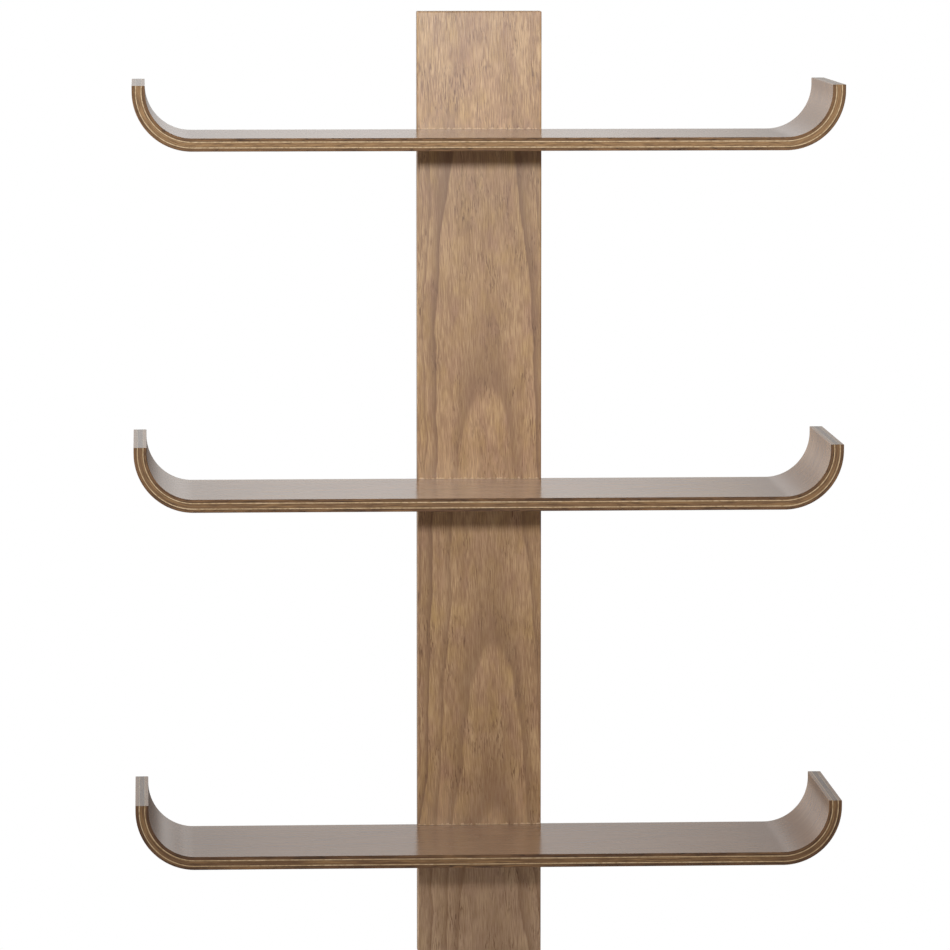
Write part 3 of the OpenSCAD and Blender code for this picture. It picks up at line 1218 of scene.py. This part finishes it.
@dataclass
class FlutedDowels(RepeatedPart):
    """Dowel pins with glue flutes along them and a chamfer at each end, in millimetres."""

    radius: float = 2.5
    length: float = 26.0
    chamfer: float = 1.0
    flutes: int = 18
    # Radius at the bottom of a flute and at a chamfered end, as shares of the dowel's.
    groove_share: float = 0.93
    end_share: float = 0.78
    rings: int = 27

    def sizes(self) -> dict[str, float]:
        """Return the tree's named sizes, lengths in metres."""
        return {"Radius": self.radius * MM, "Groove Radius": self.groove_share * self.radius * MM,
                "Length": self.length * MM, "Chamfer": self.chamfer * MM,
                "End Share": self.end_share}

    def draw(self, tree: Tree, size: dict[str, Source]) -> Node:
        """Draw one dowel: a fluted section swept along its axis, thinner at both ends.

        Args:
            tree: The tree to draw in.
            size: Socket of each named size, lengths in metres.

        Returns:
            The dowel.
        """
        axis = add(tree, "GeometryNodeCurvePrimitiveLine", sockets={
            "End": add(tree, "ShaderNodeCombineXYZ", 0.0, 0.0, size["Length"])})
        axis = add(tree, "GeometryNodeResampleCurve", axis, sockets={"Count": self.rings})
        run = add(tree, "GeometryNodeSplineParameter").outputs["Length"]
        rest = add(tree, "ShaderNodeMath", size["Length"], run, operation="SUBTRACT")
        nearest = add(tree, "ShaderNodeMath", run, rest, operation="MINIMUM")
        share = add(tree, "ShaderNodeMapRange", nearest, 0.0, size["Chamfer"], size["End Share"], 1.0)
        section = add(tree, "GeometryNodeCurveStar", sockets={
            "Points": self.flutes, "Inner Radius": size["Groove Radius"],
            "Outer Radius": size["Radius"]})
        return add(tree, "GeometryNodeCurveToMesh", axis, section.outputs["Curve"],
                   sockets={"Fill Caps": True, "Scale": share})


@dataclass
class Fasteners:
    """Dowels and screws of the joints, and the screws of the hanger plates, in millimetres.

    A back is where the dowels' back ends or the screws' heads lie, counted from the wall.
    """

    dowel_spacing: float = 30.0
    dowel_back: float = -4.0
    screw_spacing: float = 76.0
    head_back: float = -0.2
    # How far the hanger plates' middles lie above and below the board's.
    hanger_height: float = 367.65
    hanger_screw_spacing: float = 38.0
    steel: ZincPlate = ZincPlate("bright_zinc_steel")
    beech: Beech = Beech("turned_beech")

    def build(self) -> None:
        """Make the dowels and both kinds of screws."""
        halves = (-0.5, 0.5)
        FlutedDowels("fluted_dowels", [
            (side * self.dowel_spacing, self.dowel_back, level.value)
            for level in Level for side in halves], self.beech, "dowel_wood").build("shelf_dowels")
        WoodScrews("threaded_shelf_screws", [
            (side * self.screw_spacing, self.head_back, level.value)
            for level in Level for side in halves], self.steel, "screw_steel").build("shelf_screws")
        WoodScrews("threaded_hanger_screws", [
            (0.0, self.head_back, end * self.hanger_height + side * self.hanger_screw_spacing)
            for end in (-1, 1) for side in halves], self.steel, "hanger_zinc",
            shank=1.5, head=2.8, length=13.0, pitch=1.35).build("hanger_screws")


@dataclass
class KeyholeHangers:
    """The two keyhole plates let into the back of the spine."""

    nodes: tuple[str, ...] = ("upper_hanger_plate", "lower_hanger_plate")
    zinc: ZincPlate = ZincPlate("yellow_grey_zinc_plate", body="#c9c3ab", dull="#9a947c",
                                roughness=0.34)

    def dress(self) -> None:
        """Give both plates their plating."""
        for name in self.nodes:
            dress_node(name, self.zinc)


@dataclass
class Studio:
    """Pale floor, soft light and the camera, none of which belong to the shelf.

    Lengths are in metres, angles in degrees. The surroundings' light comes from all round: each
    glow lists its brightness by how far a direction points up, from -1 straight down to 1
    straight up. The back's glow is also weighed by shares that go from -1 on the left to 1 on the
    right, and gets a low glow of its own on the left.
    """

    floor_height: float = -0.9
    floor_radius: float = 1.2
    floor_sides: int = 96
    camera_place: tuple[float, float, float] = (-0.2960, -5.5268, 0.5523)
    camera_turn: float = 3.036
    camera_dip: float = 5.623
    camera_reach: float = 100.0
    # The lens and its sensor's width are in millimetres.
    lens: float = 236.74
    sensor: float = 36.0
    key_place: tuple[float, float, float] = (-0.35, -4.79, 0.90)
    key_target: tuple[float, float, float] = (0.0, 0.0, 0.90)
    key_power: float = 588.0
    key_cone: float = 38.6
    key_radius: float = 0.13
    front_glow: Stops = (
        (-1.0, 0.2), (-0.25, 0.14), (0.0, 0.3), (0.12, 0.5), (0.3, 0.66), (0.6, 0.45), (1.0, 0.5))
    side_glow: Stops = ((-1.0, 1.0), (-0.2, 2.4), (0.2, 2.6), (1.0, 2.0))
    back_glow: Stops = (
        (-1.0, 0.1), (-0.2, 0.12), (-0.1, 0.17), (-0.03, 0.3), (0.04, 1.26), (0.1, 0.88),
        (0.14, 0.74), (0.17, 0.58), (0.22, 0.44), (0.4, 0.42), (1.0, 0.7))
    back_shares: Stops = (
        (-1.0, 0.5), (-0.12, 0.5), (-0.04, 0.76), (0.0, 0.86), (0.01, 0.97), (0.03, 1.03),
        (0.045, 1.0), (0.072, 1.0), (0.1, 0.66), (1.0, 0.66))
    low_left_glow: Stops = (
        (-1.0, 0.0), (-0.3, 0.02), (-0.15, 0.1), (-0.1, 0.34), (-0.03, 0.36), (0.04, 0.0),
        (1.0, 0.0))
    # Where a direction passes from the front to the back, and to the low glow and the left side.
    to_back: Slope = Slope(-0.2, 0.6, 0.0, 1.0)
    to_low_left: Slope = Slope(-0.04, -0.09, 0.0, 1.0)
    to_side: Slope = Slope(-0.7, -0.95, 0.0, 1.0)

    def build(self) -> None:
        """Set up the whole studio."""
        bpy.context.scene.view_settings.view_transform = "Standard"
        self.floor()
        self.surroundings()
        self.key_light()
        self.camera()
        LOG.info("studio is ready")

    def floor(self) -> None:
        """Lay a round floor under the shelf, below the photograph's frame."""
        shape = bmesh.new()
        bmesh.ops.create_circle(shape, cap_ends=True, segments=self.floor_sides,
                                radius=self.floor_radius)
        bmesh.ops.translate(shape, verts=shape.verts, vec=(0, 0, self.floor_height))
        mesh = bpy.data.meshes.new("studio_floor")
        shape.to_mesh(mesh)
        shape.free()
        floor = bpy.data.objects.new("studio_floor", mesh)
        bpy.context.scene.collection.objects.link(floor)
        StudioPaint("matt_studio_paint").dress(floor)

    @staticmethod
    def glow(tree: Tree, part: Source, stops: Stops) -> Node:
        """Add how bright the surroundings are along one axis.

        Args:
            tree: The world's tree.
            part: A direction's part along the axis, from -1 to 1.
            stops: Place on the axis and brightness, in order, the first at -1 and the last at 1.

        Returns:
            Node with the brightness.
        """
        share = add(tree, "ShaderNodeMapRange", part, -1.0, 1.0, 0.0, 1.0)
        brightest = max(brightness for _, brightness in stops)
        ramp = add(tree, "ShaderNodeValToRGB", share)
        elements = ramp.color_ramp.elements
        for place, brightness in stops[1:-1]:
            elements.new((place + 1) / 2).color = (brightness / brightest,) * 3 + (1,)
        for element, (_, brightness) in ((elements[0], stops[0]), (elements[-1], stops[-1])):
            element.color = (brightness / brightest,) * 3 + (1,)
        return add(tree, "ShaderNodeMath", ramp, brightest, operation="MULTIPLY")

    def surroundings(self) -> None:
        """Surround the shelf with white surfaces, each side as bright as the photograph shows."""
        world = bpy.data.worlds.new("soft_studio")
        bpy.context.scene.world = world
        world.use_nodes = True
        tree = world.node_tree
        tree.nodes.clear()
        ray = add(tree, "ShaderNodeTexCoord").outputs["Generated"]
        across, back, up = add(tree, "ShaderNodeSeparateXYZ", ray).outputs
        behind, low_left, on_left = (
            add(tree, "ShaderNodeMapRange", part, *slope, interpolation_type="SMOOTHSTEP")
            for part, slope in ((back, self.to_back), (across, self.to_low_left),
                                (across, self.to_side)))
        back_level = add(tree, "ShaderNodeMath", self.glow(tree, up, self.back_glow),
                         self.glow(tree, across, self.back_shares), operation="MULTIPLY")
        back_level = add(tree, "ShaderNodeMath", self.glow(tree, up, self.low_left_glow), low_left,
                         back_level, operation="MULTIPLY_ADD")
        level = add(tree, "ShaderNodeMix", sockets={
            0: behind, 2: self.glow(tree, up, self.front_glow), 3: back_level})
        level = add(tree, "ShaderNodeMix", sockets={
            0: on_left, 2: level, 3: self.glow(tree, up, self.side_glow)})
        light = add(tree, "ShaderNodeBackground", (1, 1, 1, 1), level)
        white = add(tree, "ShaderNodeBackground", (1, 1, 1, 1), 1.0)
        seen = add(tree, "ShaderNodeLightPath").outputs["Is Camera Ray"]
        mixed = add(tree, "ShaderNodeMixShader", seen, light, white)
        add(tree, "ShaderNodeOutputWorld", mixed)

    def key_light(self) -> None:
        """Aim a small soft lamp from above the camera at the upper part of the spine."""
        lamp = bpy.data.lights.new("key_lamp", "SPOT")
        lamp.energy = self.key_power
        lamp.spot_size = math.radians(self.key_cone)
        lamp.spot_blend = 1.0
        lamp.shadow_soft_size = self.key_radius
        holder = bpy.data.objects.new("key_lamp", lamp)
        aim = Vector(self.key_target) - Vector(self.key_place)
        self.stand(holder, self.key_place, aim)

    def camera(self) -> None:
        """Put the camera where the photograph was taken from."""
        turn, dip = math.radians(self.camera_turn), math.radians(-self.camera_dip)
        aim = Vector((math.sin(turn) * math.cos(dip), math.cos(turn) * math.cos(dip), math.sin(dip)))
        eye = bpy.data.cameras.new("photo_camera")
        eye.sensor_width = self.sensor
        eye.lens = self.lens
        eye.clip_end = self.camera_reach
        holder = bpy.data.objects.new("photo_camera", eye)
        self.stand(holder, self.camera_place, aim)
        bpy.context.scene.camera = holder

    @staticmethod
    def stand(holder: bpy.types.Object, place: Sequence[float], aim: Vector) -> None:
        """Stand a lamp or camera at its place and turn it to its aim.

        Args:
            holder: The lamp's or the camera's object.
            place: Where it stands, in metres.
            aim: The direction that it looks in.
        """
        holder.location = place
        holder.rotation_euler = aim.to_track_quat("-Z", "Y").to_euler()
        bpy.context.scene.collection.objects.link(holder)


def main() -> None:
    """Dress the frame, add the detailed fasteners, and set up the studio."""
    logging.basicConfig(level=logging.INFO, format="%(name)s: %(message)s")
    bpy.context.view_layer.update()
    SpineBoard().dress()
    for level in Level:
        BentShelf(level).dress()
    Fasteners().build()
    KeyholeHangers().dress()
    Studio().build()


if __name__ == "__main__":
    main()
